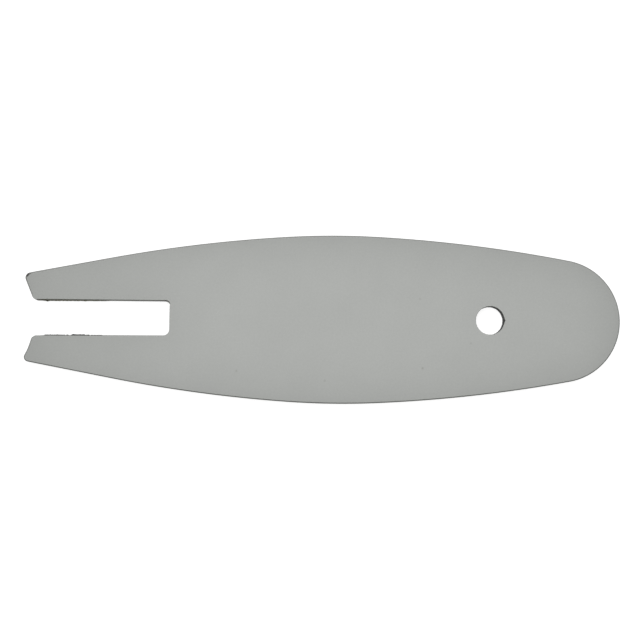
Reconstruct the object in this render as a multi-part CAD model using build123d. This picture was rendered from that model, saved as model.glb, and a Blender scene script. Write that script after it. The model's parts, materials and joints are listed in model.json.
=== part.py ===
from build123d import *

import os
from math import atan2, cos, degrees, radians, sin, tan

# Chainsaw guide bar cut from one steel plate. Two curved rails meet in a solid round nose, a groove for the
# chain's drive links is milled all round their rim, and the forked tail has a slot for the saw's bar stud.
# The bar lies flat on Z = 0 with its nose towards +X. The origin is on the underside, midway along the bar.

# Driving dimensions, in millimetres and degrees
plate_thickness = 3.2
edge_break = 0.2             # chamfer on both edges of the outline

belly_width = 39.65          # across both rails where the bar is widest
belly_to_tail = 73.7         # from the widest place to the tail tips
belly_to_nose = 66.3         # from the widest place to the nose end
belly_radius = 191.0         # rail curve at the widest place
belly_share = 0.5            # share of a rail's mean slope that the belly curve turns through
nose_radius = 14.5

tail_width = 21.1            # across the crowns of both tail tips
tail_straight = 20.0         # straight run of a rail from its tail tip
tip_radius = 1.2             # outer corner of a tail tip
end_cut_angle = 22.5         # lean of a tail end face, back from its tip to the slot

stud_diameter = 8.0
stud_clearance = 0.2
slot_depth = 34.1            # from the tail tips to the closed end
slot_corner_radius = 1.4     # inner corners at the closed end
slot_mouth_radius = 1.2      # corners where the slot opens through the tail

hole_diameter = 6.7
hole_from_nose = 30.5

drive_link_gauge = 1.1
drive_link_clearance = 0.1
groove_depth = 4.5

# Sizes that follow from them
overall_length = belly_to_tail + belly_to_nose
slot_width = stud_diameter + stud_clearance
groove_width = drive_link_gauge + drive_link_clearance
half_belly = belly_width / 2
half_tail = tail_width / 2
half_slot = slot_width / 2
tail_x = -overall_length / 2
nose_x = overall_length / 2
belly_x = tail_x + belly_to_tail
belly_centre = Vector(belly_x, half_belly - belly_radius)
nose_centre = Vector(nose_x - nose_radius, 0)
tip_centre = Vector(tail_x + tip_radius, half_tail - tip_radius)


def heading(angle):
    """Unit vector in plan, turned by an angle from +X."""
    return Vector(cos(radians(angle)), sin(radians(angle)))


# Slope of the upper rail where the belly curve ends, towards the tail and towards the nose
tail_turn = belly_share * degrees(atan2(half_belly - half_tail, belly_x - tip_centre.X))
nose_turn = belly_share * degrees(atan2(half_belly - nose_radius, nose_centre.X - belly_x))

# The front curve leaves the belly curve and touches the nose circle from outside:
# its centre is front_radius from its start and front_radius - nose_radius from the nose centre.
front_normal = heading(90 - nose_turn)
front_start = belly_centre + front_normal * belly_radius
front_reach = front_start - nose_centre
front_radius = (front_reach.dot(front_reach) - nose_radius**2) / (
    2 * (front_reach.dot(front_normal) - nose_radius)
)
front_to_nose = nose_centre - (front_start - front_normal * front_radius)
nose_slope = degrees(atan2(front_to_nose.X, front_to_nose.Y))

# The flank curve joins the belly curve to the straight run that is tangent to the tip's circle.
# It is solved on a line moved in by tip_radius, which starts at the tip's centre: the corner of its two
# tangents lies equally far from both ends of the flank curve.
flank_heading = heading(tail_turn)
flank_reach = belly_centre + heading(90 + tail_turn) * (belly_radius - tip_radius) - tip_centre
flank_tangent = (flank_reach.dot(flank_reach) - tail_straight**2) / (
    2 * (flank_reach.dot(flank_heading) + tail_straight)
)
flank_corner = flank_reach - flank_heading * flank_tangent
rail_slope = degrees(atan2(flank_corner.Y, flank_corner.X))
flank_radius = tip_radius + flank_tangent / tan(radians(rail_slope - tail_turn) / 2)


def rail(inset, run_out):
    """Upper rail from its tail tip to the nose end, moved into the plate by inset and longer at the tail."""
    along = heading(rail_slope)
    tip = tip_centre + heading(90 + rail_slope) * (tip_radius - inset)
    straight = Line(tip - along * run_out, tip + along * tail_straight)
    flank = JernArc(straight @ 1, straight % 1, flank_radius - inset, tail_turn - rail_slope)
    belly = JernArc(flank @ 1, flank % 1, belly_radius - inset, -tail_turn - nose_turn)
    front = JernArc(belly @ 1, belly % 1, front_radius - inset, nose_turn - nose_slope)
    nose = JernArc(front @ 1, front % 1, nose_radius - inset, nose_slope - 90)
    return [straight, flank, belly, front, nose]


def fork():
    """Upper half of the tail fork, from the slot's closed end round its mouth to the tail tip."""
    end_heading = heading(90 + end_cut_angle)
    tip_touch = tip_centre - heading(end_cut_angle) * tip_radius
    mouth_x = tip_touch.X + (tip_touch.Y - half_slot) * tan(radians(end_cut_angle))
    mouth_tangent = slot_mouth_radius * tan(radians(90 - end_cut_angle) / 2)
    slot_x = tail_x + slot_depth
    slot_end = Line((slot_x, 0), (slot_x, half_slot - slot_corner_radius))
    corner = JernArc(slot_end @ 1, slot_end % 1, slot_corner_radius, 90)
    wall = Line(corner @ 1, (mouth_x + mouth_tangent, half_slot))
    mouth = JernArc(wall @ 1, wall % 1, slot_mouth_radius, end_cut_angle - 90)
    end_face = Line(mouth @ 1, tip_touch)
    tip = JernArc(tip_touch, end_heading, tip_radius, rail_slope - 90 - end_cut_angle)
    return [slot_end, corner, wall, mouth, end_face, tip]


def both_halves(edges):
    """Upper edges with their mirror image below the bar's axis."""
    half = Curve() + edges
    return half + mirror(half, about=Plane.XZ)


def make_plate():
    """Plate in the bar's outline, with the edges of both faces broken."""
    outline = make_face(both_halves(fork() + rail(inset=0, run_out=0)).edges())
    plate = extrude(outline, plate_thickness)
    faces = plate.faces().sort_by(Axis.Z)
    return chamfer(faces[0].edges() + faces[-1].edges(), edge_break)


def make_hole():
    """Round hole through the plate behind the nose."""
    upright = (Align.CENTER, Align.CENTER, Align.MIN)
    hole = Cylinder(hole_diameter / 2, plate_thickness, align=upright)
    return Pos(nose_x - hole_from_nose, 0, 0) * hole


def make_groove():
    """Chain groove: a slot as deep as the drive links round the whole rim, open at both tail tips."""
    floor = both_halves(rail(inset=groove_depth, run_out=groove_depth + tip_radius))
    ends = floor.vertices().sort_by(Axis.X)[:2]
    core = extrude(make_face(floor.edges() + [Line(ends[0], ends[1]).edge()]), groove_width)
    around = 2 * groove_depth
    upright = (Align.CENTER, Align.CENTER, Align.MIN)
    slab = Box(overall_length + around, belly_width + around, groove_width, align=upright)
    return Pos(0, 0, (plate_thickness - groove_width) / 2) * (slab - core)


guide_bar = make_plate() - make_hole() - make_groove()

os.makedirs("parts", exist_ok=True)
export_step(guide_bar, "parts/guide_bar.step")
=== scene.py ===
# %% [markdown]
# # A small chainsaw guide bar
# The real bar is one flat steel plate. Its outline, its tail slot and its nose hole were cut with heat, a
# thin groove for the chain was milled all round the rim, and both faces carry a matt light grey coat. The
# solid model already holds the true sizes, so it is loaded first as a fixed frame. The lesson then builds
# a finer skin for it: one closed mesh, worked out with numpy, that fits inside the solid's box.

# %% Load the frame and keep the solid's box
import json
import math

import bmesh
import bpy
import numpy as np
from mathutils import Matrix, Vector
from mathutils.geometry import delaunay_2d_cdt


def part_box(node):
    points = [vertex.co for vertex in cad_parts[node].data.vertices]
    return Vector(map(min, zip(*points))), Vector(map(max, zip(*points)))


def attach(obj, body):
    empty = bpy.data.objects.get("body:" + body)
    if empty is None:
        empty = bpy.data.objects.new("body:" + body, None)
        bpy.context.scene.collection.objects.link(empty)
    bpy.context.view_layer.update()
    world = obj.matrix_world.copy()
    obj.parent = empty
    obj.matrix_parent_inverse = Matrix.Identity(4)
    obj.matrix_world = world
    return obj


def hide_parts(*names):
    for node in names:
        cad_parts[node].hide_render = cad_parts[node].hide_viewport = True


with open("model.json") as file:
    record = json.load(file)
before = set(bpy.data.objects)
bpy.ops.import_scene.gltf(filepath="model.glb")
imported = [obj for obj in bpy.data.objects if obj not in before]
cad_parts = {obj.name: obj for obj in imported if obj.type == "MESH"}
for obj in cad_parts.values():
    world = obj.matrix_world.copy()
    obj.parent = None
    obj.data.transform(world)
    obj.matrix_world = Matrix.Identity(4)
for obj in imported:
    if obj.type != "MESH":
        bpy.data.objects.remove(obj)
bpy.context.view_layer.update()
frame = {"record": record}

MM = 0.001

# %% [markdown]
# ## The outline as one walk
# The edge of the plate is a chain of straight runs and arcs that flow into each other. It could be drawn
# as a Bezier curve with handles, but a walk is exact: each stretch has a length and a turn, and the next
# one starts where the last one ended, in the same direction. Only the upper half is walked, from the
# slot's closed end out to the tail tip and along the rail to the nose, because the lower half is its
# mirror image.

# %% Sizes of the bar, in millimetres and radians
BELLY_WIDTH = 39.65
BELLY_TO_TAIL = 73.7
BELLY_TO_NOSE = 66.3
BELLY_RADIUS = 191.0
BELLY_SHARE = 0.5  # share of a rail's mean slope that the belly arc turns through
NOSE_RADIUS = 14.5
TAIL_WIDTH = 21.1
TAIL_STRAIGHT = 20.0
TIP_RADIUS = 1.2
END_CUT = math.radians(22.5)
SLOT_WIDTH = 8.2
SLOT_DEPTH = 34.1
SLOT_CORNER = 1.4
SLOT_MOUTH = 1.2
GROOVE_WIDTH = 1.2
GROOVE_DEPTH = 4.5
QUARTER = math.pi / 2

plate_low, plate_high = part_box("guide_bar")
THICKNESS = (plate_high.z - plate_low.z) / MM
nose_hole = next(mount for mount in frame["record"]["mounts"] if mount["name"] == "nose_hole")
HOLE_RADIUS = nose_hole["dims"]["r_mm"]
HOLE_CENTRE = np.array(nose_hole["pos_m"][:2]) / MM
print(f"plate {THICKNESS:.2f} mm thick,")
print(f"hole {2 * HOLE_RADIUS:.2f} mm across at x = {HOLE_CENTRE[0]:.1f} mm")


# %% Work out the arcs that join belly, nose and tail
def unit(angle):
    """Unit vectors in plan: the cosine and the sine of each angle from +X."""
    return np.stack([np.cos(angle), np.sin(angle)], axis=-1)


tail_x = -(BELLY_TO_TAIL + BELLY_TO_NOSE) / 2
belly_x = tail_x + BELLY_TO_TAIL
belly_centre = np.array([belly_x, BELLY_WIDTH / 2 - BELLY_RADIUS])
nose_centre = np.array([-tail_x - NOSE_RADIUS, 0.0])
tip_centre = np.array([tail_x + TIP_RADIUS, TAIL_WIDTH / 2 - TIP_RADIUS])
tail_turn = BELLY_SHARE * math.atan2((BELLY_WIDTH - TAIL_WIDTH) / 2, belly_x - tip_centre[0])
nose_turn = BELLY_SHARE * math.atan2(BELLY_WIDTH / 2 - NOSE_RADIUS, nose_centre[0] - belly_x)

# The front arc touches the belly arc at its start and the nose circle from outside at its end.
front_normal = unit(QUARTER - nose_turn)
front_reach = belly_centre + BELLY_RADIUS * front_normal - nose_centre
front_inward = front_reach @ front_normal - NOSE_RADIUS
front_radius = (front_reach @ front_reach - NOSE_RADIUS**2) / (2 * front_inward)
front_to_nose = front_radius * front_normal - front_reach
nose_slope = math.atan2(front_to_nose[0], front_to_nose[1])

# The flank arc's two tangents are equally long, which fixes their corner and so the straight run's slope.
flank_reach = belly_centre + (BELLY_RADIUS - TIP_RADIUS) * unit(QUARTER + tail_turn) - tip_centre
flank_along = flank_reach @ unit(tail_turn) + TAIL_STRAIGHT
flank_tangent = (flank_reach @ flank_reach - TAIL_STRAIGHT**2) / (2 * flank_along)
flank_corner = flank_reach - flank_tangent * unit(tail_turn)
rail_slope = math.atan2(flank_corner[1], flank_corner[0])
flank_radius = TIP_RADIUS + flank_tangent / math.tan((rail_slope - tail_turn) / 2)
print(f"rail leaves the tail at {math.degrees(rail_slope):.2f} degrees,")
print(f"flank radius {flank_radius:.0f} mm, front radius {front_radius:.0f} mm,")
print(f"nose arc starts at {math.degrees(nose_slope):.2f} degrees")


# %% Work out the forked tail
def cross(a, b):
    """Signed area of the parallelogram of two plan vectors."""
    return a[0] * b[1] - a[1] * b[0]


half_slot = SLOT_WIDTH / 2
slot_x = tail_x + SLOT_DEPTH
tip_touch = tip_centre - TIP_RADIUS * unit(END_CUT)
mouth_tangent = SLOT_MOUTH * math.tan((QUARTER - END_CUT) / 2)
mouth_x = tip_touch[0] + (tip_touch[1] - half_slot) * math.tan(END_CUT) + mouth_tangent
end_face = (tip_touch[1] - half_slot) / math.cos(END_CUT) - mouth_tangent

# The groove's floor runs on straight from below the tip until it comes out of the tail's end face.
end_way = unit(QUARTER + END_CUT)
rail_way = unit(rail_slope)
floor_tip = tip_centre + (TIP_RADIUS - GROOVE_DEPTH) * unit(QUARTER + rail_slope)
groove_mouth = cross(tip_touch - floor_tip, rail_way) / cross(end_way, rail_way)
floor_end = tip_touch - groove_mouth * end_way
print(f"tail end face {end_face:.2f} mm long, of which the groove opens {groove_mouth:.2f} mm")

# %% Walk the upper half
STRETCHES = [
    # name, length, turn to the left, spacing of the points
    ("slot_end", half_slot - SLOT_CORNER, 0.0, 0.14),
    ("slot_corner", SLOT_CORNER * QUARTER, QUARTER, 0.11),
    ("slot_wall", slot_x - SLOT_CORNER - mouth_x, 0.0, 0.11),
    ("slot_mouth", SLOT_MOUTH * (QUARTER - END_CUT), END_CUT - QUARTER, 0.1),
    ("end_face", end_face - groove_mouth, 0.0, 0.15),
    ("groove_mouth", groove_mouth, 0.0, 0.15),
    ("tip", TIP_RADIUS * (QUARTER + END_CUT - rail_slope), rail_slope - QUARTER - END_CUT, 0.1),
    ("straight", TAIL_STRAIGHT, 0.0, 0.5),
    ("flank", flank_radius * (rail_slope - tail_turn), tail_turn - rail_slope, 0.6),
    ("belly", BELLY_RADIUS * (tail_turn + nose_turn), -tail_turn - nose_turn, 0.6),
    ("front", front_radius * (nose_slope - nose_turn), nose_turn - nose_slope, 0.6),
    ("nose", NOSE_RADIUS * (QUARTER - nose_slope), nose_slope - QUARTER, 0.3),
]
STRETCH_NAMES = [stretch[0] for stretch in STRETCHES]


def walk(start, heading, stretches):
    """Points and headings along a chain of stretches, and the number of the stretch that each is on.

    After a way s along a stretch of length L that turns by T, the heading has changed by T s / L. The
    chord back to the stretch's start points half as far round, and its length is s times sin(h) / h,
    where h is that half turn. A straight run is the case T = 0.
    """
    points, headings, numbers = [], [], []
    for number, (_, length, turn, spacing) in enumerate(stretches):
        count = max(2, round(length / spacing))
        way = length * np.arange(count) / count
        half_turn = turn * way / (2 * length)
        points.append(start + (way * np.sinc(half_turn / np.pi))[:, None] * unit(heading + half_turn))
        headings.append(heading + 2 * half_turn)
        numbers.append(np.full(count, number))
        start = start + length * np.sinc(turn / (2 * np.pi)) * unit(heading + turn / 2)
        heading += turn
    points.append(start[None])
    headings.append([heading])
    numbers.append([len(stretches) - 1])
    return np.concatenate(points), np.concatenate(headings), np.concatenate(numbers)


def on_stretches(numbers, *wanted):
    """True for the points that lie on one of the named stretches."""
    return np.isin(numbers, [STRETCH_NAMES.index(name) for name in wanted])


upper, upper_heading, upper_stretch = walk(np.array([slot_x, 0.0]), QUARTER, STRETCHES)
print(f"half outline: {len(upper)} points, ends at x = {upper[-1, 0]:.3f}, y = {upper[-1, 1]:.1e} mm")

# %% [markdown]
# ## The groove as a second line
# The chain's drive links run in a groove 4.5 mm deep. It could be cut with a Boolean modifier, but that
# leaves messy faces on a rim that everyone looks at. Seen from above, the groove's floor is just the rail
# moved inwards, so every point of the outline gets a partner on that floor. Where there is no groove, as
# on the slot's walls, a point is its own partner.

# %% Give each outline point its partner, and close the loop
RAILS = ("straight", "flank", "belly", "front", "nose")
KEPT_INSIDE = 0.02  # how far the skin's outline lies inside the solid's

upper_outward = unit(upper_heading + QUARTER)
opening = on_stretches(upper_stretch, "groove_mouth", "tip")
opening_share = np.zeros(len(upper))
opening_share[opening] = np.arange(opening.sum()) / opening.sum()
floor_run = floor_end + opening_share[:, None] * (floor_tip - floor_end)
upper_groove = np.where(on_stretches(upper_stretch, *RAILS)[:, None], -GROOVE_DEPTH * upper_outward, 0.0)
upper_groove = np.where(opening[:, None], floor_run - upper, upper_groove)


def both_halves(upper_values, mirror=1.0):
    """A closed loop: the upper half's values, then the lower half's in reverse, with Y times mirror."""
    lower = upper_values[-2:0:-1]
    if upper_values.ndim == 2:
        lower = lower * np.array([1.0, mirror])
    return np.concatenate([upper_values, lower])


outward = both_halves(upper_outward, -1.0)
outline = both_halves(upper, -1.0) - KEPT_INSIDE * outward
groove = both_halves(upper_groove, -1.0)
stretch = both_halves(upper_stretch)
on_upper = np.arange(len(outline)) < len(upper)
step = np.linalg.norm(np.roll(outline, -1, axis=0) - outline, axis=1)
travel = np.concatenate([[0.0], np.cumsum(step)[:-1]])
print(f"closed outline: {len(outline)} points, {step.sum():.1f} mm round,")
print(f"deepest groove partner {np.linalg.norm(groove, axis=1).max():.2f} mm from the rim")

# %% [markdown]
# ## The rim's slice
# A slice across the rim runs from the top face over a rounded edge, down the rail's wall, over a small
# lip into the groove and back out below. Blender's Bevel modifier could round the edges, but the same
# slice goes all round the bar, so it is carried along the outline instead, as a profile along a path.
# Each station of the slice is a mix of a few plan offsets, which lets one table serve the rail, the fork
# and the hole.

# %% The stations of the slice, from the top face to the underside
FACE_RING = 0.8  # how far inside the outline the flat face starts
SHOULDER = 0.06  # flat strip beside the rounded edge, which keeps the face's shading flat
LIP_RADIUS = 0.1
EDGE_TURN = np.linspace(0, QUARTER, 6)
WALL_SHARES = np.array([0.25, 0.5, 0.75])
LIP_TURN = np.linspace(0, QUARTER, 3)
GROOVE_SHARES = np.array([0.5, 1.0])
FLOOR_SHARES = np.array([2 / 3, 1 / 3, 0.0])


def rows(inset=0.0, edge_in=0.0, lip=0.0, deep=0.0, height=0.0, edge_up=0.0):
    """Stations as rows of six columns, each of them one number or an array."""
    columns = np.broadcast_arrays(inset, edge_in, lip, deep, height, edge_up)
    return np.stack(columns, axis=-1).reshape(-1, 6)


def slice_stations():
    """All stations of the slice.

    The edge is a quarter circle: 1 - sin edge radii inwards and cos - 1 radii upwards. The wall goes
    straight down to the lip, a smaller quarter circle, and the groove's wall and floor follow. The lower
    half is the upper one upside down.
    """
    lip_z = (THICKNESS + GROOVE_WIDTH) / 2
    wall_z = THICKNESS + WALL_SHARES * (lip_z + LIP_RADIUS - THICKNESS)
    top = np.concatenate([
        rows(inset=FACE_RING, height=THICKNESS),
        rows(inset=SHOULDER, edge_in=1.0, height=THICKNESS),
        rows(edge_in=1 - np.sin(EDGE_TURN), height=THICKNESS, edge_up=np.cos(EDGE_TURN) - 1),
        rows(height=wall_z, edge_up=WALL_SHARES - 1),
        rows(lip=1 - np.cos(LIP_TURN), height=lip_z + LIP_RADIUS * (1 - np.sin(LIP_TURN))),
        rows(deep=GROOVE_SHARES, height=lip_z),
        rows(deep=1.0, height=THICKNESS / 2 + FLOOR_SHARES * GROOVE_WIDTH / 2),
    ])
    bottom = top[-2::-1] * np.array([1, 1, 1, 1, -1, -1]) + np.array([0, 0, 0, 0, THICKNESS, 0])
    return np.concatenate([top, bottom])


stations = slice_stations()
level = stations[:, 4]
last = len(stations) - 1
# Stations where the rounded edge, the wall and the groove start, counted from either face
FIRST_EDGE = 2
FIRST_WALL = FIRST_EDGE + len(EDGE_TURN) - 1
FIRST_GROOVE = FIRST_WALL + len(WALL_SHARES) + len(LIP_TURN)
print(f"slice: {len(stations)} stations, heights {level.min():.2f} to {level.max():.2f} mm")

# %% Carry the slice along a path
LEAST_DEPTH = 1e-9  # stands for no groove, so that nothing is divided by zero


def carry_slice(points, outward, groove, edge_radius, relief):
    """Grid of 3-D points, one row for each path point and one column for each station.

    In plan, a station lies at the path point, minus its inset along the outward normal, plus its shares
    of the way to the groove's floor, plus a relief along the normal. Its height is the station's own,
    raised or lowered with the edge radius.
    """
    inset, edge_in, lip, deep, height, edge_up = stations.T
    depth = np.maximum(np.linalg.norm(groove, axis=1), LEAST_DEPTH)
    lip_way = groove * np.minimum(1.0, LIP_RADIUS / depth)[:, None]
    along_normal = relief - inset - edge_radius * edge_in
    plan = points[:, None] + along_normal[..., None] * outward[:, None]
    plan = plan + lip[None, :, None] * lip_way[:, None] + deep[None, :, None] * groove[:, None]
    z = height + edge_radius * edge_up
    return np.concatenate([plan, z[..., None]], axis=-1)


no_relief = np.zeros((len(outline), len(stations)))
plain_rim = carry_slice(outline, outward, groove, no_relief, no_relief)
print("plain rim, widest in mm:", np.round(np.ptp(plain_rim.reshape(-1, 3), axis=0), 2))

# %% [markdown]
# ## What the cutting heat left behind
# The slot was never cleaned up. Its walls have fine upright ripples, beads of slag stick to the lower
# wall near the top edge, a crust lies on the upper wall, and the cut wandered, so the slot is a little
# wider at its mouth, one inner corner is sharper at the top and one end of the tail is slightly hollow.
# Sculpting would do it by hand. Here each of these is a relief, a function of the way along the wall and
# the height on it, that says how far a point of the grid stands out. The rails are clean, with rounded
# edges, and one tail tip has its corner knocked off.

# %% Edges of the plate
RAIL_EDGE = 0.27
CUT_EDGE = 0.07
TIP_CHIP = 0.32
TIP_CHIP_REACH = 0.9
TIP_CHIP_PLACE = 0.35  # from the middle of the tip towards the rail
SOFTEN_POINTS = 15  # points over which one edge radius changes to the next


def bump(values, centre, width):
    """Gaussian bump of height 1: exp of minus the squared distance from centre in widths."""
    return np.exp(-(((values - centre) / width) ** 2))


def soften(values):
    """Running average round the closed loop, weighted by a raised cosine."""
    window = np.hanning(SOFTEN_POINTS) / np.hanning(SOFTEN_POINTS).sum()
    pad = len(window) // 2
    return np.convolve(np.concatenate([values[-pad:], values, values[:pad]]), window, mode="valid")


def middle_of(half, name):
    """Way round the outline to the middle of a stretch: the mean of its points on one half."""
    return travel[half & on_stretches(stretch, name)].mean()


heat_cut = on_stretches(stretch, "slot_end", "slot_corner", "slot_wall", "slot_mouth")
chipped = bump(travel, middle_of(on_upper, "tip") + TIP_CHIP_PLACE, TIP_CHIP_REACH)
edge_radius = soften(np.where(heat_cut, CUT_EDGE, RAIL_EDGE))[:, None]
edge_radius = edge_radius + TIP_CHIP * chipped[:, None] * (level > THICKNESS / 2)
print(f"edge radius {edge_radius.min():.2f} mm in the slot, {edge_radius.max():.2f} mm at the chip")

# %% Slag on the lower wall
SLAG_STRETCHES = [
    # from and to in mm from the tail tips, beads for each mm, how far they stand out
    (4.9, 9.7, 3.0, 0.12),
    (10.0, 10.4, 4.0, 0.2),
    (11.3, 14.4, 4.0, 0.23),
    (14.5, 15.3, 4.0, 0.15),
    (15.7, 18.4, 3.0, 0.08),
]
SLAG_SKIN = 0.7  # share of the beads' height
SLAG_SKIN_FADE = 1.0
SLAG_SOFT = 0.2
SLAG_SHOWS = 0.03
BEAD_WIDTHS = (0.1, 0.3)
BEAD_DEPTHS = (0.1, 0.5)
BEAD_STANDS = (0.75, 1.2)
BEAD_UPWARD = 1.6
SEED = 11

draw = np.random.default_rng(SEED)
from_tail = outline[:, 0] - tail_x


def between(values, start, end, soft):
    """1 from start to end and 0 outside: the product of two smooth steps, each half of 1 plus a tanh."""
    return (1 + np.tanh((values - start) / soft)) * (1 + np.tanh((end - values) / soft)) / 4


def slag_relief():
    """A skin with beads on it, on the lower wall: the largest of the skin and many Gaussian bumps.

    The skin is a share of the beads' height along each stretch, and fades down the wall. A bead is a bump
    along the wall times a bump up the wall.
    """
    skins, beads = [], []
    for start, end, density, stand in SLAG_STRETCHES:
        count = round((end - start) * density)
        place = draw.uniform(start, end, count)
        width = draw.uniform(*BEAD_WIDTHS, count)
        depth = draw.uniform(*BEAD_DEPTHS, count)
        beads.append(np.stack([place, width, depth, stand * draw.uniform(*BEAD_STANDS, count)]))
        skins.append(SLAG_SKIN * stand * between(from_tail, start, end, SLAG_SOFT))
    place, width, depth, stand = np.concatenate(beads, axis=1)
    along = bump(from_tail[:, None], place, width)
    upward = bump(level[:, None], THICKNESS - depth, BEAD_UPWARD * width)
    skin = np.max(skins, axis=0)[:, None] * bump(level, THICKNESS, SLAG_SKIN_FADE)
    on_lower_wall = heat_cut & ~on_upper
    return np.maximum(skin, (along[:, None] * upward * stand).max(axis=-1)) * on_lower_wall[:, None]


slag = slag_relief()
slagged = slag.max(axis=1) > SLAG_SHOWS
print(f"slag covers {slagged @ step:.1f} mm of wall and stands out up to {slag.max():.2f} mm")

# %% Crust on the upper wall
CRUST = 0.22
CRUST_FROM = 3.2
CRUST_TO = 19.3
CRUST_SOFT = 1.0
CRUST_FADES = 36.0  # way from the tail tips at which the taper would come to nothing
CRUST_HEIGHT = 0.7  # height on the wall at which it is thickest
CRUST_SPREAD = 2.0
CRUST_WAVE = 0.1
CRUST_PITCHES = np.array([2.3, 0.9])
DRIP_PLACES = np.array([4.85, 13.7])
DRIPS = np.array([0.13, 0.05])
DRIP_WIDTH = 0.3


def crust_relief():
    """Crust low on the upper wall: a tapering strip with two slow waves on it, and two drips."""
    strip = CRUST * (1 - from_tail / CRUST_FADES) * between(from_tail, CRUST_FROM, CRUST_TO, CRUST_SOFT)
    waves = 1 + CRUST_WAVE * np.sin(2 * np.pi * travel[:, None] / CRUST_PITCHES).sum(axis=1)
    drips = bump(from_tail[:, None], DRIP_PLACES, DRIP_WIDTH) @ DRIPS
    on_upper_wall = heat_cut & on_upper
    return ((strip * waves + drips) * on_upper_wall)[:, None] * bump(level, CRUST_HEIGHT, CRUST_SPREAD)


crust = crust_relief()
print(f"crust stands out up to {crust.max():.2f} mm")

# %% Ripples, a wandering cut, and the finished rim
RUN_OUT = 0.1  # flare of each wall at the tail tips
WORN_MOUTH = 0.13  # more of it near the mouth of the lower wall
WORN_TO = 4.5
WORN_SOFT = 0.5
SHARP_MOUTH_REACH = 0.8  # stretch round the upper mouth corner without flare
END_HOLLOW = 0.2
END_HOLLOW_REACH = 2.0
CORNER_LEAN = 0.28
CORNER_REACH = 0.75
RIPPLE = 0.02
RIPPLE_PITCHES = np.array([0.31, 0.47, 0.83, 1.9])


def ripple_relief():
    """Upright ripples: the mean of sines of unlike pitch along the wall, the same at every height."""
    phase = draw.uniform(0, 2 * np.pi, len(RIPPLE_PITCHES))
    waves = np.sin(2 * np.pi * travel[:, None] / RIPPLE_PITCHES + phase)
    return RIPPLE * waves.mean(axis=1)[:, None] * np.ones(len(stations))


on_wall = (stations[:, 0] == 0) & (level > 0) & (level < THICKNESS)
off_face = stations[:, 0] < FACE_RING
in_slot = soften(heat_cut.astype(float))[:, None] ** 2
sharp_mouth = bump(travel, middle_of(on_upper, "slot_mouth"), SHARP_MOUTH_REACH)
run_out = RUN_OUT * (1 - from_tail / SLOT_DEPTH) * (1 - sharp_mouth)
worn = WORN_MOUTH * between(from_tail, 0.0, WORN_TO, WORN_SOFT) * ~on_upper
corner = bump(travel, middle_of(on_upper, "slot_corner"), CORNER_REACH)[:, None]
corner_lean = CORNER_LEAN * corner * level / THICKNESS
lower_end = bump(travel, middle_of(~on_upper, "groove_mouth"), END_HOLLOW_REACH)[:, None]
hollow = END_HOLLOW * lower_end * off_face
stuck = slag + crust + ripple_relief()
wandered = ((run_out + worn)[:, None] + corner_lean) * off_face
relief = (stuck * on_wall - wandered) * in_slot - hollow
rim = carry_slice(outline, outward, groove, edge_radius, relief)
print(f"rim grid {rim.shape[0]} by {rim.shape[1]}, relief {relief.min():.2f} to {relief.max():.2f} mm")

# %% [markdown]
# ## The hole
# The nose hole is the same slice on a round path, with no groove. The torch started and stopped at its
# nose side, which left a small chip in the top edge. A Boolean with a cylinder would make the plain hole
# but not the chip.

# %% The hole's wall
HOLE_POINTS = 180
HOLE_CHIP = 0.2
HOLE_CHIP_REACH = 0.4
HOLE_CHIP_HEIGHT = 0.7
HOLE_CRUST = 0.15
HOLE_CRUST_TURN = math.radians(-35)
HOLE_RIPPLES = np.array([23, 7])

hole_length = 2 * np.pi * HOLE_RADIUS
hole_start = HOLE_CENTRE + np.array([HOLE_RADIUS, 0.0])
hole_stretch = ("hole", hole_length, 2 * np.pi, hole_length / HOLE_POINTS)
hole, hole_heading, _ = walk(hole_start, QUARTER, [hole_stretch])
hole = hole[:-1]
hole_outward = unit(hole_heading[:-1] + QUARTER)
hole_turn = np.arctan2(-hole_outward[:, 1], -hole_outward[:, 0])
hole_chip = HOLE_CHIP * bump(HOLE_RADIUS * hole_turn, 0.0, HOLE_CHIP_REACH)
chip_upward = np.clip(1 - (1 - level / THICKNESS) / HOLE_CHIP_HEIGHT, 0.0, 1.0)
hole_ripple = RIPPLE * np.sin(HOLE_RIPPLES * hole_turn[:, None]).prod(axis=1)
hole_crust = HOLE_CRUST * np.maximum(0, np.cos(hole_turn - HOLE_CRUST_TURN))
hole_stuck = hole_crust[:, None] * bump(level, CRUST_HEIGHT, CRUST_SPREAD)
hole_relief = (hole_stuck + hole_ripple[:, None] - hole_chip[:, None] * chip_upward) * off_face
hole_edges = np.full(hole_relief.shape, CUT_EDGE)
hole_rim = carry_slice(hole, hole_outward, np.zeros_like(hole), hole_edges, hole_relief)
print(f"hole grid {hole_rim.shape[0]} by {hole_rim.shape[1]}, chip {HOLE_CHIP} mm deep")

# %% [markdown]
# ## The two faces
# The slice ends in a ring just inside the edge, on each face and round the hole. The flat sheet between
# the rings could be a single many-sided face, but a coat that changes gently towards the edges needs
# points to hold that change. So a triangular lattice is laid inside the rings and joined to them by a
# Delaunay triangulation.

# %% Fill the face between the rings
LATTICE = 1.5
LATTICE_CLEAR = 0.7
SAME_POINT = 1e-7  # points that lie closer count as one


def inside_loops(points, loops):
    """True where a ray from the point towards +X crosses the loops an odd number of times."""
    odd = np.zeros(len(points), bool)
    x, y = points[:, :1], points[:, 1:]
    for loop in loops:
        after = np.roll(loop, -1, axis=0)
        spans = (loop[:, 1] > y) != (after[:, 1] > y)
        rise = np.where(after[:, 1] == loop[:, 1], 1.0, after[:, 1] - loop[:, 1])
        crossing = loop[:, 0] + (y - loop[:, 1]) * (after[:, 0] - loop[:, 0]) / rise
        odd ^= (spans & (x < crossing)).sum(axis=1) % 2 == 1
    return odd


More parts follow.
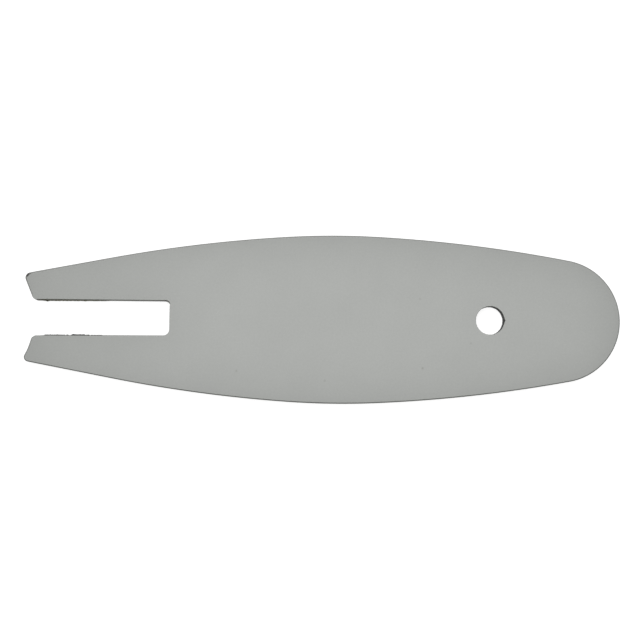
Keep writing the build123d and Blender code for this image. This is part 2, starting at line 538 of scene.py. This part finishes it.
def face_lattice(loops):
    """Points of a triangular lattice inside the loops: every second row is moved by half a spacing."""
    ring = np.concatenate(loops)
    low, high = ring.min(axis=0), ring.max(axis=0)
    y = np.arange(low[1], high[1], LATTICE * math.sqrt(3) / 2)
    x = np.arange(low[0], high[0], LATTICE) + LATTICE / 2 * (np.arange(len(y)) % 2)[:, None]
    lattice = np.stack([x, np.broadcast_to(y[:, None], x.shape)], axis=-1).reshape(-1, 2)
    lattice = lattice[inside_loops(lattice, loops)]
    gap = np.linalg.norm(lattice[:, None] - ring, axis=-1).min(axis=1)
    return lattice[gap > LATTICE_CLEAR]


def face_triangles(loops, lattice):
    """Delaunay triangles over the points of the loops and then the lattice, without those in the hole."""
    points = np.concatenate([*loops, lattice])
    sizes = [len(loop) for loop in loops]
    starts = np.repeat(np.cumsum([0, *sizes[:-1]]), sizes)
    along = np.concatenate([np.arange(size) for size in sizes])
    edges = np.stack([starts + along, starts + (along + 1) % np.repeat(sizes, sizes)], axis=1)
    made = delaunay_2d_cdt(points.tolist(), edges.tolist(), [], 1, SAME_POINT)
    triangles = np.array(made[3])[:, 0][np.array(made[2])]
    return triangles[inside_loops(points[triangles].mean(axis=1), loops)]


face_rings = [rim[:, 0, :2], hole_rim[:, 0, :2]]
lattice = face_lattice(face_rings)
triangles = face_triangles(face_rings, lattice)
print(f"face: {len(lattice)} lattice points, {len(triangles)} triangles")

# %% [markdown]
# ## One closed mesh
# The rim grid, the hole grid and the two faces share their ring points, so together they close the plate.
# Grids become four-sided faces by index arithmetic alone. Where the groove has no depth, several stations
# fall on one point, and merging them leaves a plain wall there.

# %% Number the points and build the faces
rim_count = rim.shape[0] * rim.shape[1]
hole_count = hole_rim.shape[0] * hole_rim.shape[1]
face_count = rim_count + hole_count


def grid_faces(count, columns, first):
    """Quads of a grid whose last row joins the first: two points of a column and two of the next."""
    i, j = np.meshgrid(np.arange(count), np.arange(columns - 1), indexing="ij")
    after = (i + 1) % count
    corners = [i * columns + j, after * columns + j, after * columns + j + 1, i * columns + j + 1]
    return first + np.stack(corners, axis=-1).reshape(-1, 4)


def face_numbers(station, first_lattice):
    """Mesh numbers of one face's points: the rim's ring, the hole's ring, then the lattice."""
    rim_ring = np.arange(rim.shape[0]) * rim.shape[1] + station
    hole_ring = rim_count + np.arange(hole_rim.shape[0]) * hole_rim.shape[1] + station
    return np.concatenate([rim_ring, hole_ring, first_lattice + np.arange(len(lattice))])


top_points = np.c_[lattice, np.full(len(lattice), THICKNESS)]
bottom_points = np.c_[lattice, np.zeros(len(lattice))]
points = np.concatenate([rim.reshape(-1, 3), hole_rim.reshape(-1, 3), top_points, bottom_points])
quads = np.concatenate([grid_faces(*rim.shape[:2], 0), grid_faces(*hole_rim.shape[:2], rim_count)])
top_faces = face_numbers(0, face_count)[triangles]
bottom_faces = face_numbers(last, face_count + len(lattice))[triangles[:, ::-1]]
print(f"{len(points)} points, {len(quads)} quads, {2 * len(triangles)} triangles")

# %% Say which finish each face has
ENAMEL, RAIL, GROOVE, SCALE, SLAG = range(5)
CHIP_SHOWS = 0.3
column = np.arange(last)
from_face = np.minimum(column, last - 1 - column)


def finish_of(wall, groove):
    """Finish of each column of faces: enamel on the face and its edge, then the wall, then the groove."""
    return np.where(from_face < FIRST_WALL, ENAMEL, np.where(from_face < FIRST_GROOVE, wall, groove))


rim_finish = np.where(heat_cut[:, None], finish_of(SCALE, SCALE), finish_of(RAIL, GROOVE))
rim_finish = np.where(on_stretches(stretch, "end_face")[:, None], finish_of(RAIL, RAIL), rim_finish)
off_top = column > 0
on_cut = off_top & (column < last - FIRST_WALL)
rim_finish = np.where(slagged[:, None] & on_cut, SLAG, rim_finish)
on_top_edge = off_top & (column < FIRST_WALL)
rim_finish = np.where((chipped > CHIP_SHOWS)[:, None] & on_top_edge, SLAG, rim_finish)
hole_finish = np.broadcast_to(finish_of(SLAG, SLAG), (len(hole), last))
finish = np.concatenate([rim_finish.ravel(), hole_finish.ravel(), np.full(2 * len(triangles), ENAMEL)])
print("faces of enamel, rail, groove, scale and slag:", np.bincount(finish).tolist())

# %% [markdown]
# ## Values that ride on the points
# A few numbers for each point help the finishes: how much metal lies round it, which the coat uses for
# painted shade that darkens tips and edges a little, how bare the coat's thin edge is, with painted shade
# added on edges that face the lower rail, how thick the crust is, and how far along the rim it lies.
# Vertex paint would do, but these follow from the shape, so they are worked out and stored as attributes.
# They stay with the surface whatever the camera does.

# %% Metal share, edge mark and crust depth
# Painted shade: how far in from tips and edges the coat is drawn darker
EDGE_SHADE_REACH = 6.0
MASK_STEP = 1.0
MASK_MARGIN = 20.0
OXIDE_SKIN = 0.15
SLAG_BLACK = 0.1
CRUST_BLACK = 0.13
HOLE_BLACK = 0.9
CHIP_BLACK = 0.7
EDGE_BARE = 0.65  # how much of the dark steel shows through the coat on an edge
EDGE_SIDE_SHADE = 0.21  # painted shade: how much lighter an edge facing the upper rail is drawn, and darker one facing the lower rail


def metal_share(plan):
    """Share of a Gaussian spot round each plan point that is metal and not air.

    The plate is a mask of ones on a coarse grid. The spot is a product of one weight in X and one in Y,
    so the weighted sum is a matrix product and a sum of products.
    """
    x = np.arange(tail_x - MASK_MARGIN, -tail_x + MASK_MARGIN, MASK_STEP)
    y = np.arange(-BELLY_WIDTH / 2 - MASK_MARGIN, BELLY_WIDTH / 2 + MASK_MARGIN, MASK_STEP)
    spots = np.stack(np.meshgrid(x, y, indexing="ij"), axis=-1).reshape(-1, 2)
    mask = inside_loops(spots, [outline]).reshape(len(x), len(y)).astype(float)
    x_weight = np.exp(-((plan[:, :1] - x) ** 2) / (2 * EDGE_SHADE_REACH**2))
    y_weight = np.exp(-((plan[:, 1:] - y) ** 2) / (2 * EDGE_SHADE_REACH**2))
    return ((x_weight @ mask) * y_weight).sum(axis=1) / (x_weight.sum(axis=1) * y_weight.sum(axis=1))


def on_points(rim_values, hole_values, lattice_values):
    """One value for each mesh point, in the mesh's order: rim grid, hole grid, lattice of both faces."""
    rim_values = np.broadcast_to(rim_values, rim.shape[:2])
    hole_values = np.broadcast_to(hole_values, hole_rim.shape[:2])
    lattice_values = np.broadcast_to(lattice_values, (2, len(lattice)))
    return np.concatenate([rim_values.ravel(), hole_values.ravel(), lattice_values.ravel()])


on_edge = np.minimum(np.arange(last + 1), np.arange(last + 1)[::-1]) > FIRST_EDGE
# Dark steel through the thin coat on the edges, plus painted shade that darkens edges facing the lower
# rail
rim_edge_wear_and_shade = EDGE_BARE - EDGE_SIDE_SHADE * outward[:, 1:]
hole_edge_wear_and_shade = EDGE_BARE - EDGE_SIDE_SHADE * hole_outward[:, 1:]
oxide = OXIDE_SKIN + (slag / SLAG_BLACK + crust / CRUST_BLACK) * in_slot + CHIP_BLACK * chipped[:, None]
crust_depth = np.clip(oxide, 0.0, 1.0)
# The metal share drives painted shade on the coat near tips and edges
rim_metal = metal_share(outline)[:, None]
hole_metal = metal_share(hole)[:, None]
carried = {
    "metal_share": on_points(rim_metal, hole_metal, metal_share(lattice)),
    "edge_mark": on_points(on_edge * rim_edge_wear_and_shade, on_edge * hole_edge_wear_and_shade, 0.0),
    "crust_depth": on_points(crust_depth, HOLE_BLACK, 0.0),
    "rim_travel": on_points(travel[:, None] * MM, 0.0, 0.0),
}
for name, values in carried.items():
    print(f"{name}: {values.min():.2f} to {values.max():.2f}")

# %% Put it all into one Blender mesh
MERGE_GAP = 1e-4
SHARP_ANGLE = math.radians(38)  # edges that turn by more are shaded as sharp


def make_plate(name):
    """The closed plate as an object at the origin, with its attributes, finishes and sharp edges."""
    mesh = bpy.data.meshes.new(name)
    corners = quads.tolist() + top_faces.tolist() + bottom_faces.tolist()
    mesh.from_pydata((points * MM).tolist(), [], corners)
    mesh.polygons.foreach_set("material_index", finish.astype(np.int32))
    mesh.polygons.foreach_set("use_smooth", np.ones(len(finish), bool))
    for attribute, values in carried.items():
        layer = mesh.attributes.new(attribute, "FLOAT", "POINT")
        layer.data.foreach_set("value", values.astype(np.float32))
    merged = bmesh.new()
    merged.from_mesh(mesh)
    bmesh.ops.remove_doubles(merged, verts=merged.verts, dist=MERGE_GAP * MM)
    open_edges = sum(not edge.is_manifold for edge in merged.edges)
    print(f"{len(merged.verts)} points, {len(merged.faces)} faces, {open_edges} open edges,")
    print(f"volume {merged.calc_volume(signed=True) / MM**3:.0f} mm3")
    merged.to_mesh(mesh)
    merged.free()
    mesh.set_sharp_from_angle(angle=SHARP_ANGLE)
    piece = bpy.data.objects.new(name, mesh)
    bpy.context.scene.collection.objects.link(piece)
    return piece


bar = make_plate("bar_plate")

# %% [markdown]
# ## Finishes
# Every finish is a small tree of shader nodes. Colours are written as the usual hex values, which are
# coded for screens, so one function turns them into the linear light that the renderer counts in. One
# more function adds a node, sets it up and links it, which keeps each tree short enough to read.


# %% Helpers for colour and nodes
def linear(code):
    """sRGB hex to linear RGBA: below 0.04045 a share of 1/12.92, above it a power of 2.4."""
    value = np.array([int(code[i : i + 2], 16) for i in (1, 3, 5)]) / 255
    light = np.where(value <= 0.04045, value / 12.92, ((value + 0.055) / 1.055) ** 2.4)
    return (*light.tolist(), 1.0)


def add(tree, kind, inputs=None, **settings):
    """Add a node, set its properties, and give each input a value or a link from another node."""
    made = tree.nodes.new(kind)
    for key, value in settings.items():
        setattr(made, key, value)
    for socket, value in (inputs or {}).items():
        if isinstance(value, bpy.types.NodeSocket):
            tree.links.new(value, made.inputs[socket])
        else:
            made.inputs[socket].default_value = value
    return made


def new_finish(name):
    """An empty node material and its tree."""
    material = bpy.data.materials.new(name)
    material.use_nodes = True
    material.node_tree.nodes.clear()
    return material, material.node_tree


def per_size(size_mm):
    """Texture scale that gives features of a real size: how many fit into a metre."""
    return 1 / (size_mm * MM)


print("linear grey of #808080:", round(linear("#808080")[0], 4))

# %% [markdown]
# ### Sprayed grey enamel
# Both faces have a matt light grey coat that was sprayed on and baked. It scatters light evenly, has a
# fine tooth from the spray, faint clouds and a few specks of dust, and it is drawn a little darker near
# tips and edges as painted shade. On the rounded edges it is thin and the dark steel shows through, and
# those that face the lower rail are drawn darker still, as painted shade from a light on the upper side.
# The tooth is drawn coarser than it is, so that it shows. A photo texture would bring its own light with
# it, so noise and the stored attributes do the work.

# %% Sprayed grey enamel
ENAMEL_OPEN = "#AEB0AD"
# Painted shade: the coat's colour near tips and edges, where little metal lies round a point
ENAMEL_EDGE_SHADE = "#999B98"
# Thin coat over dark steel on the edges, also used as painted shade on edges facing the lower rail
ENAMEL_THIN_AND_SHADED = "#484945"
ENAMEL_DUST = "#949590"
ENAMEL_ROUGHNESS = 0.55
ENAMEL_IOR = 1.45
NOISE_LOW = 0.3  # most values of a noise texture lie between these two
NOISE_HIGH = 0.7
TOOTH_MM = 0.45
TOOTH_SHADE = 0.025
TOOTH_STRENGTH = 0.25
TOOTH_DEPTH_MM = 0.02
CLOUD_MM = 9.0
CLOUD_SHADE = 0.015
DUST_SPACING_MM = 11.0
DUST_MM = 0.35
DUST_SHARE = 0.24
DUST_RAGGED_MM = 0.6


def sprayed_grey_enamel():
    """Matt dielectric with tooth, clouds, dust and thin edges, and painted shade from the metal share and
    on edges facing the lower rail.
    """
    material, tree = new_finish("sprayed_grey_enamel")
    place = add(tree, "ShaderNodeTexCoord").outputs["Object"]
    metal = add(tree, "ShaderNodeAttribute", attribute_name="metal_share").outputs["Fac"]
    edge = add(tree, "ShaderNodeAttribute", attribute_name="edge_mark").outputs["Fac"]
    tooth = add(tree, "ShaderNodeTexNoise", {"Vector": place, "Scale": per_size(TOOTH_MM), "Detail": 3.0})
    cloud = add(tree, "ShaderNodeTexNoise", {"Vector": place, "Scale": per_size(CLOUD_MM), "Detail": 2.0})
    # Painted shade: the coat is drawn darker where little metal lies round a point, near tips and edges
    coat = add(tree, "ShaderNodeMix", {
        "Factor": metal, "A": linear(ENAMEL_EDGE_SHADE), "B": linear(ENAMEL_OPEN),
    }, data_type="RGBA")
    grain = add(tree, "ShaderNodeMapRange", {
        "Value": tooth.outputs["Fac"], "From Min": NOISE_LOW, "From Max": NOISE_HIGH,
        "To Min": 1 - TOOTH_SHADE, "To Max": 1 + TOOTH_SHADE,
    })
    mist = add(tree, "ShaderNodeMapRange", {
        "Value": cloud.outputs["Fac"], "From Min": NOISE_LOW, "From Max": NOISE_HIGH,
        "To Min": 1 - CLOUD_SHADE, "To Max": 1 + CLOUD_SHADE,
    })
    shade = add(tree, "ShaderNodeMath", {0: grain.outputs[0], 1: mist.outputs[0]}, operation="MULTIPLY")
    varied = add(tree, "ShaderNodeVectorMath", {
        0: coat.outputs["Result"], "Scale": shade.outputs[0],
    }, operation="SCALE")
    # Dust lies at the cell centres of a Voronoi pattern, where the cell's random colour is low in red. Its
    # green says how dark a speck is, and the tooth makes the specks ragged.
    ragged = add(tree, "ShaderNodeVectorMath", {
        0: tooth.outputs["Color"], 1: (DUST_RAGGED_MM * MM,) * 3, 2: place,
    }, operation="MULTIPLY_ADD")
    dust = add(tree, "ShaderNodeTexVoronoi", {
        "Vector": ragged.outputs[0], "Scale": per_size(DUST_SPACING_MM),
    }, voronoi_dimensions="2D")
    near = add(tree, "ShaderNodeMapRange", {
        "Value": dust.outputs["Distance"], "From Min": 0.0, "From Max": DUST_MM / DUST_SPACING_MM,
        "To Min": 1.0, "To Max": 0.0,
    })
    cell = add(tree, "ShaderNodeSeparateColor", {"Color": dust.outputs["Color"]})
    chosen = add(tree, "ShaderNodeMath", {0: cell.outputs["Red"], 1: DUST_SHARE}, operation="LESS_THAN")
    darkness = add(tree, "ShaderNodeMath", {
        0: chosen.outputs[0], 1: cell.outputs["Green"],
    }, operation="MULTIPLY")
    speck = add(tree, "ShaderNodeMath", {0: near.outputs[0], 1: darkness.outputs[0]}, operation="MULTIPLY")
    dusty = add(tree, "ShaderNodeMix", {
        "Factor": speck.outputs[0], "A": varied.outputs["Vector"], "B": linear(ENAMEL_DUST),
    }, data_type="RGBA")
    # The thin edges show dark steel, and those facing the lower rail carry painted shade as well
    colour = add(tree, "ShaderNodeMix", {
        "Factor": edge, "A": dusty.outputs["Result"], "B": linear(ENAMEL_THIN_AND_SHADED),
    }, data_type="RGBA")
    bumpy = add(tree, "ShaderNodeBump", {
        "Height": tooth.outputs["Fac"], "Strength": TOOTH_STRENGTH, "Distance": TOOTH_DEPTH_MM * MM,
    })
    shader = add(tree, "ShaderNodeBsdfPrincipled", {
        "Base Color": colour.outputs["Result"], "Normal": bumpy.outputs["Normal"],
        "Roughness": ENAMEL_ROUGHNESS, "IOR": ENAMEL_IOR,
    })
    add(tree, "ShaderNodeOutputMaterial", {"Surface": shader.outputs[0]})
    return material


enamel = sprayed_grey_enamel()
print(enamel.name, "has", len(enamel.node_tree.nodes), "nodes")

# %% [markdown]
# ### Ground rail steel and milled groove steel
# The rails were ground after the groove was cut, so their walls are bare steel with fine lines that run
# along the rim, dulled by oil and handling. The groove was milled and never polished: it is rougher and
# darker. Both are metals, so their colour is the colour of the reflection. The lines have to follow the
# rim round the nose, which plain noise can't do, so they use the stored way along the rim. They are drawn
# coarser than real grinding marks, which would be too fine to show.

# %% Rail and groove steel
RAIL_STEEL = "#86857F"
RAIL_STAIN = "#5C5A54"
GROOVE_STEEL = "#55544F"
GROOVE_STAIN = "#383631"
RAIL_ROUGHNESS = 0.38
GROOVE_ROUGHNESS = 0.55
GRIND_PITCH_MM = 0.12
GRIND_LENGTH_MM = 6.0
GRIND_SHINE = 0.08
GRIND_STRENGTH = 0.4
GRIND_DEPTH_MM = 0.02
STAIN_MM = 3.0
STAIN_LOW = 0.42
STAIN_HIGH = 0.68


def lined_steel(name, clean, stain, roughness):
    """Bare steel with lines along the rim: noise that is long in the way round and short in height."""
    material, tree = new_finish(name)
    place = add(tree, "ShaderNodeTexCoord").outputs["Object"]
    way = add(tree, "ShaderNodeAttribute", attribute_name="rim_travel").outputs["Fac"]
    height = add(tree, "ShaderNodeSeparateXYZ", {"Vector": place}).outputs["Z"]
    long_way = add(tree, "ShaderNodeMath", {
        0: way, 1: per_size(GRIND_LENGTH_MM),
    }, operation="MULTIPLY")
    short_way = add(tree, "ShaderNodeMath", {
        0: height, 1: per_size(GRIND_PITCH_MM),
    }, operation="MULTIPLY")
    along = add(tree, "ShaderNodeCombineXYZ", {"X": long_way.outputs[0], "Y": short_way.outputs[0]})
    lines = add(tree, "ShaderNodeTexNoise", {"Vector": along.outputs[0], "Scale": 1.0, "Detail": 2.0})
    blotch = add(tree, "ShaderNodeTexNoise", {
        "Vector": place, "Scale": per_size(STAIN_MM), "Detail": 4.0,
    })
    amount = add(tree, "ShaderNodeMapRange", {
        "Value": blotch.outputs["Fac"], "From Min": STAIN_LOW, "From Max": STAIN_HIGH,
    })
    colour = add(tree, "ShaderNodeMix", {
        "Factor": amount.outputs[0], "A": linear(clean), "B": linear(stain),
    }, data_type="RGBA")
    rough = add(tree, "ShaderNodeMapRange", {
        "Value": lines.outputs["Fac"], "From Min": NOISE_LOW, "From Max": NOISE_HIGH,
        "To Min": roughness - GRIND_SHINE, "To Max": roughness + GRIND_SHINE,
    })
    bumpy = add(tree, "ShaderNodeBump", {
        "Height": lines.outputs["Fac"], "Strength": GRIND_STRENGTH, "Distance": GRIND_DEPTH_MM * MM,
    })
    shader = add(tree, "ShaderNodeBsdfPrincipled", {
        "Base Color": colour.outputs["Result"], "Roughness": rough.outputs[0],
        "Normal": bumpy.outputs["Normal"], "Metallic": 1.0,
    })
    add(tree, "ShaderNodeOutputMaterial", {"Surface": shader.outputs[0]})
    return material


rail_steel = lined_steel("ground_rail_steel", RAIL_STEEL, RAIL_STAIN, RAIL_ROUGHNESS)
groove_steel = lined_steel("milled_groove_steel", GROOVE_STEEL, GROOVE_STAIN, GROOVE_ROUGHNESS)
print(rail_steel.name, "and", groove_steel.name, "have", len(rail_steel.node_tree.nodes), "nodes each")

# %% [markdown]
# ### Heat-cut scale and frozen slag
# The cutting heat left a dull skin of oxide, or scale, on the slot's walls. It is grey where it is
# thin and nearly black where it is thick, with olive and rust brown in it and fine upright streaks. The
# slag that froze on the slot's lower wall and in the hole is a plain grey-black instead, and so is the
# chipped tip. Neither is a metal to the eye any more: both are rough dark dielectrics. They differ in
# colour alone, so one function makes both. A mask painted by hand could place the thick crust, but the
# stored crust depth already tells the shader where it is.

# %% Heat-cut scale and frozen slag
OXIDE_THIN = "#9A9A97"
SCALE_COLOURS = ("#2A2916", "#57562F", "#5A4E2C")
SLAG_COLOURS = ("#171717", "#4A4A49", "#2E2D2C")
OXIDE_ROUGHNESS = 0.75
OXIDE_SPECULAR = 0.2
STREAK_MM = 0.3
STREAK_LENGTH_MM = 4.0
STREAK_LOW = 0.4
STREAK_HIGH = 0.7
STREAK_STRENGTH = 0.6
STREAK_DEPTH_MM = 0.04
PATCH_MM = 2.2
PATCH_LOW = 0.52
PATCH_HIGH = 0.72
PATCH_MOST = 0.7


def oxide_skin(name, dark, streaked, patched):
    """Dark oxide: upright streaks from noise that is stretched in Z, with patches of a third colour."""
    material, tree = new_finish(name)
    place = add(tree, "ShaderNodeTexCoord").outputs["Object"]
    depth = add(tree, "ShaderNodeAttribute", attribute_name="crust_depth").outputs["Fac"]
    stretched = add(tree, "ShaderNodeMapping", {
        "Vector": place, "Scale": (per_size(STREAK_MM), per_size(STREAK_MM), per_size(STREAK_LENGTH_MM)),
    })
    streak = add(tree, "ShaderNodeTexNoise", {
        "Vector": stretched.outputs[0], "Scale": 1.0, "Detail": 3.0,
    })
    patch = add(tree, "ShaderNodeTexNoise", {"Vector": place, "Scale": per_size(PATCH_MM), "Detail": 3.0})
    streaks = add(tree, "ShaderNodeMapRange", {
        "Value": streak.outputs["Fac"], "From Min": STREAK_LOW, "From Max": STREAK_HIGH,
    })
    patches = add(tree, "ShaderNodeMapRange", {
        "Value": patch.outputs["Fac"], "From Min": PATCH_LOW, "From Max": PATCH_HIGH,
        "To Max": PATCH_MOST,
    })
    skin = add(tree, "ShaderNodeMix", {
        "Factor": streaks.outputs[0], "A": linear(dark), "B": linear(streaked),
    }, data_type="RGBA")
    thick = add(tree, "ShaderNodeMix", {
        "Factor": patches.outputs[0], "A": skin.outputs["Result"], "B": linear(patched),
    }, data_type="RGBA")
    colour = add(tree, "ShaderNodeMix", {
        "Factor": depth, "A": linear(OXIDE_THIN), "B": thick.outputs["Result"],
    }, data_type="RGBA")
    bumpy = add(tree, "ShaderNodeBump", {
        "Height": streak.outputs["Fac"], "Strength": STREAK_STRENGTH, "Distance": STREAK_DEPTH_MM * MM,
    })
    shader = add(tree, "ShaderNodeBsdfPrincipled", {
        "Base Color": colour.outputs["Result"], "Normal": bumpy.outputs["Normal"],
        "Roughness": OXIDE_ROUGHNESS, "Specular IOR Level": OXIDE_SPECULAR,
    })
    add(tree, "ShaderNodeOutputMaterial", {"Surface": shader.outputs[0]})
    return material


scale = oxide_skin("heat_cut_scale", *SCALE_COLOURS)
frozen_slag = oxide_skin("frozen_slag", *SLAG_COLOURS)
print(scale.name, "and", frozen_slag.name, "have", len(scale.node_tree.nodes), "nodes each")

# %% Dress the plate and let it stand for the solid
for material in (enamel, rail_steel, groove_steel, scale, frozen_slag):
    bar.data.materials.append(material)
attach(bar, "root")
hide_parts("guide_bar")
print("finishes on the plate:", bar.data.materials.keys())

# %% [markdown]
# ## Floor and sky
# The picture is a plain product shot on white. A stronger lamp would whiten the floor, but it would bleach
# the bar too. So a floor of pale paper takes the soft shadow and glows a little where it is seen, straight
# on or in a reflection. The glow grows with the distance from the bar, because the lamp's light fades
# there. The sky is even, and white where it is seen.

# %% Floor and sky
FLOOR_SIDE = 6.0
FLOOR_GAP = 0.02 * MM
FLOOR_PAPER = "#B4B4B4"
FLOOR_GLOW = 0.8
GLOW_FROM = 0.12
GLOW_TO = 0.6
SKY_LIGHT = 0.3


def seen_rays(tree):
    """1 for rays from the camera and for mirror and glass rays, 0 for rays that only carry light."""
    path = add(tree, "ShaderNodeLightPath")
    mirror = add(tree, "ShaderNodeMath", {
        0: path.outputs["Is Camera Ray"], 1: path.outputs["Is Glossy Ray"],
    }, operation="MAXIMUM")
    seen = add(tree, "ShaderNodeMath", {
        0: mirror.outputs[0], 1: path.outputs["Is Transmission Ray"],
    }, operation="MAXIMUM")
    return seen.outputs[0]


def studio_paper():
    """Pale diffuse paper plus a glow for seen rays, which rises with the distance from the bar."""
    material, tree = new_finish("matt_studio_paper")
    place = add(tree, "ShaderNodeTexCoord").outputs["Object"]
    distance = add(tree, "ShaderNodeVectorMath", {0: place}, operation="LENGTH")
    strength = add(tree, "ShaderNodeMapRange", {
        "Value": distance.outputs["Value"], "From Min": GLOW_FROM, "From Max": GLOW_TO,
        "To Min": FLOOR_GLOW, "To Max": 1.0,
    })
    seen = add(tree, "ShaderNodeMath", {0: seen_rays(tree), 1: strength.outputs[0]}, operation="MULTIPLY")
    glow = add(tree, "ShaderNodeEmission", {"Strength": seen.outputs[0]})
    paper = add(tree, "ShaderNodeBsdfDiffuse", {"Color": linear(FLOOR_PAPER)})
    both = add(tree, "ShaderNodeAddShader", {0: paper.outputs[0], 1: glow.outputs[0]})
    add(tree, "ShaderNodeOutputMaterial", {"Surface": both.outputs[0]})
    return material


floor_mesh = bpy.data.meshes.new("studio_floor")
floor_corners = np.array([[-1, -1, 0], [1, -1, 0], [1, 1, 0], [-1, 1, 0]]) * FLOOR_SIDE / 2
floor_mesh.from_pydata((floor_corners - [0, 0, FLOOR_GAP]).tolist(), [], [(0, 1, 2, 3)])
floor_mesh.materials.append(studio_paper())
floor = bpy.data.objects.new("studio_floor", floor_mesh)
bpy.context.scene.collection.objects.link(floor)

sky = bpy.data.worlds.new("studio_sky")
sky.use_nodes = True
sky.node_tree.nodes.clear()
sky_level = add(sky.node_tree, "ShaderNodeMapRange", {
    "Value": seen_rays(sky.node_tree), "To Min": SKY_LIGHT, "To Max": 1.0,
})
white = add(sky.node_tree, "ShaderNodeBackground", {
    "Color": (1.0, 1.0, 1.0, 1.0), "Strength": sky_level.outputs[0],
})
add(sky.node_tree, "ShaderNodeOutputWorld", {"Surface": white.outputs[0]})
bpy.context.scene.world = sky
print(f"floor {FLOOR_SIDE:.0f} m wide, sky light {SKY_LIGHT}")

# %% [markdown]
# ## Lamp
# One wide soft lamp hangs over the bar, a little towards the tail and the upper rail, so the nose and the
# lower rail are a shade darker. A sun lamp would light the bar evenly but flat. The power is set so that
# a colour renders about as it is written.

# %% Lamp
LAMP_SIDE = 0.5
LAMP_POWER = 2.54
LAMP_PLACE = Vector((-0.03, 0.1, 0.6))

lamp_light = bpy.data.lights.new("overhead_softbox", "AREA")
lamp_light.size = LAMP_SIDE
lamp_light.energy = LAMP_POWER
lamp = bpy.data.objects.new("overhead_softbox", lamp_light)
lamp.location = LAMP_PLACE
lamp.rotation_euler = LAMP_PLACE.to_track_quat("Z", "Y").to_euler()
bpy.context.scene.collection.objects.link(lamp)
print(f"lamp {LAMP_SIDE} m square, {LAMP_PLACE.z:.2f} m up")

# %% [markdown]
# ## Camera
# The camera looks down on the bar from 33 cm and leans by a few degrees, so the slot's upper wall and the
# hole's far wall just show. Its place could be set by hand in the viewport. Here it follows from where
# the middle of the bar lies in the picture and how long the bar is there, so the framing comes out right
# at once.

# %% Camera
PHOTO_SIDE = 640
BAR_LENGTH_PX = 596.0
BAR_MIDDLE_PX = (322.1, 319.09)
BAR_ROLL = math.radians(0.457)
CAMERA_TO_FACE = 0.33
CAMERA_LEAN = math.radians(4.25)
SENSOR_MM = 36.0
CLIP_START = 0.01

metre_per_px = -2 * tail_x * MM / BAR_LENGTH_PX
picture_side = PHOTO_SIDE * metre_per_px
middle = Vector((
    (PHOTO_SIDE / 2 - BAR_MIDDLE_PX[0]) * metre_per_px,
    (BAR_MIDDLE_PX[1] - PHOTO_SIDE / 2) * metre_per_px,
    THICKNESS * MM,
))
turn = Matrix.Rotation(CAMERA_LEAN, 4, "X") @ Matrix.Rotation(BAR_ROLL, 4, "Z")
stand = turn @ Vector((0.0, 0.0, CAMERA_TO_FACE))
camera_lens = bpy.data.cameras.new("photo_camera")
camera_lens.sensor_width = SENSOR_MM
camera_lens.lens = SENSOR_MM * CAMERA_TO_FACE / picture_side
camera_lens.clip_start = CLIP_START
camera = bpy.data.objects.new("photo_camera", camera_lens)
camera.matrix_world = Matrix.Translation(middle + stand) @ turn
bpy.context.scene.collection.objects.link(camera)
bpy.context.scene.camera = camera
bpy.context.scene.view_settings.view_transform = "Standard"
print(f"lens {camera_lens.lens:.1f} mm, {(THICKNESS * MM + stand.z) / MM:.0f} mm above the floor")
